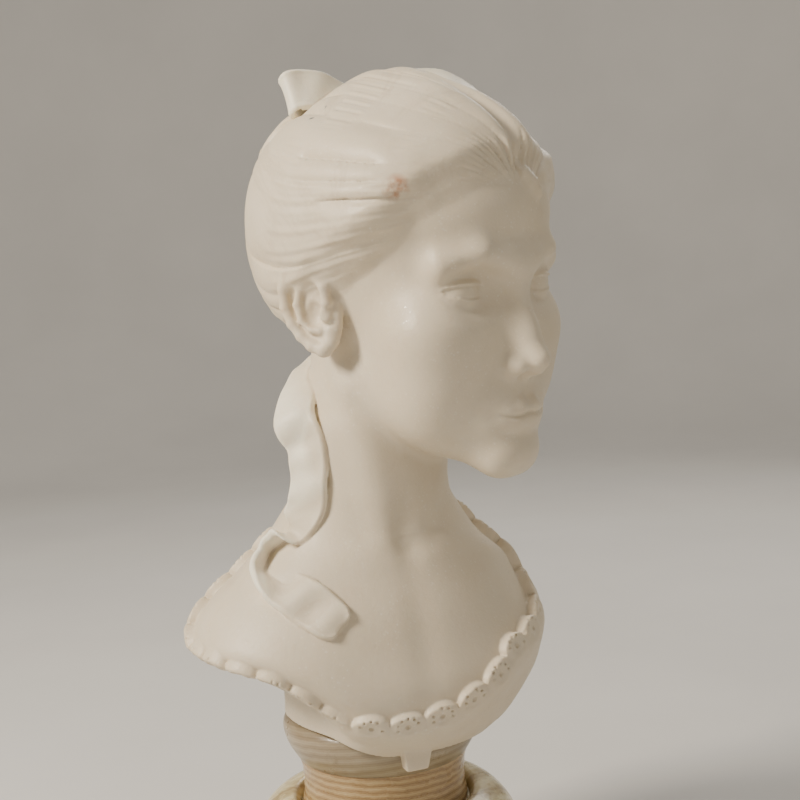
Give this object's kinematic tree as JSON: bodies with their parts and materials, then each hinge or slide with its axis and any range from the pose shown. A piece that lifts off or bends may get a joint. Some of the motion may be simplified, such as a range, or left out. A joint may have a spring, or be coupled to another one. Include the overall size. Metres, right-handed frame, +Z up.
{
  "type": "portrait bust figurine",
  "caption": "Marble bust of a young woman with a ribboned chignon and a lace edge, pinned to a turned onyx socle on which it turns.",
  "frame": {"origin": "centre of the felt pad's underside, on the socle's turning axis", "axes": "+Z up along the socle's axis, the chest faces -Y, the bust's right shoulder is towards -X"},
  "size_m": [0.216, 0.2031, 0.5069],
  "materials": {
    "marble": "satin",
    "onyx_collar": "polished",
    "onyx_neck": "polished",
    "onyx_foot": "polished",
    "onyx_plinth": "polished",
    "leather": "matte",
    "plaster": "matte",
    "steel": "satin",
    "brass": "satin",
    "felt": "matte"
  },
  "bodies": {
    "socle": {"socle_plinth": "onyx_plinth", "socle_foot": "onyx_foot", "socle_neck": "onyx_neck", "socle_collar": "onyx_collar", "base_washer": "steel", "felt_pad": "felt", "swivel_washer": "leather"},
    "bust": {"bust": "marble", "rod_setting": "plaster", "tie_rod": "steel", "base_nut": "brass"}
  },
  "joints": [
    {"name": "bust_turn", "type": "hinge", "parent": "socle", "child": "bust", "pos_m": [0, 0, 0.131], "axis": [0, 0, 1], "continuous": true}
  ]
}
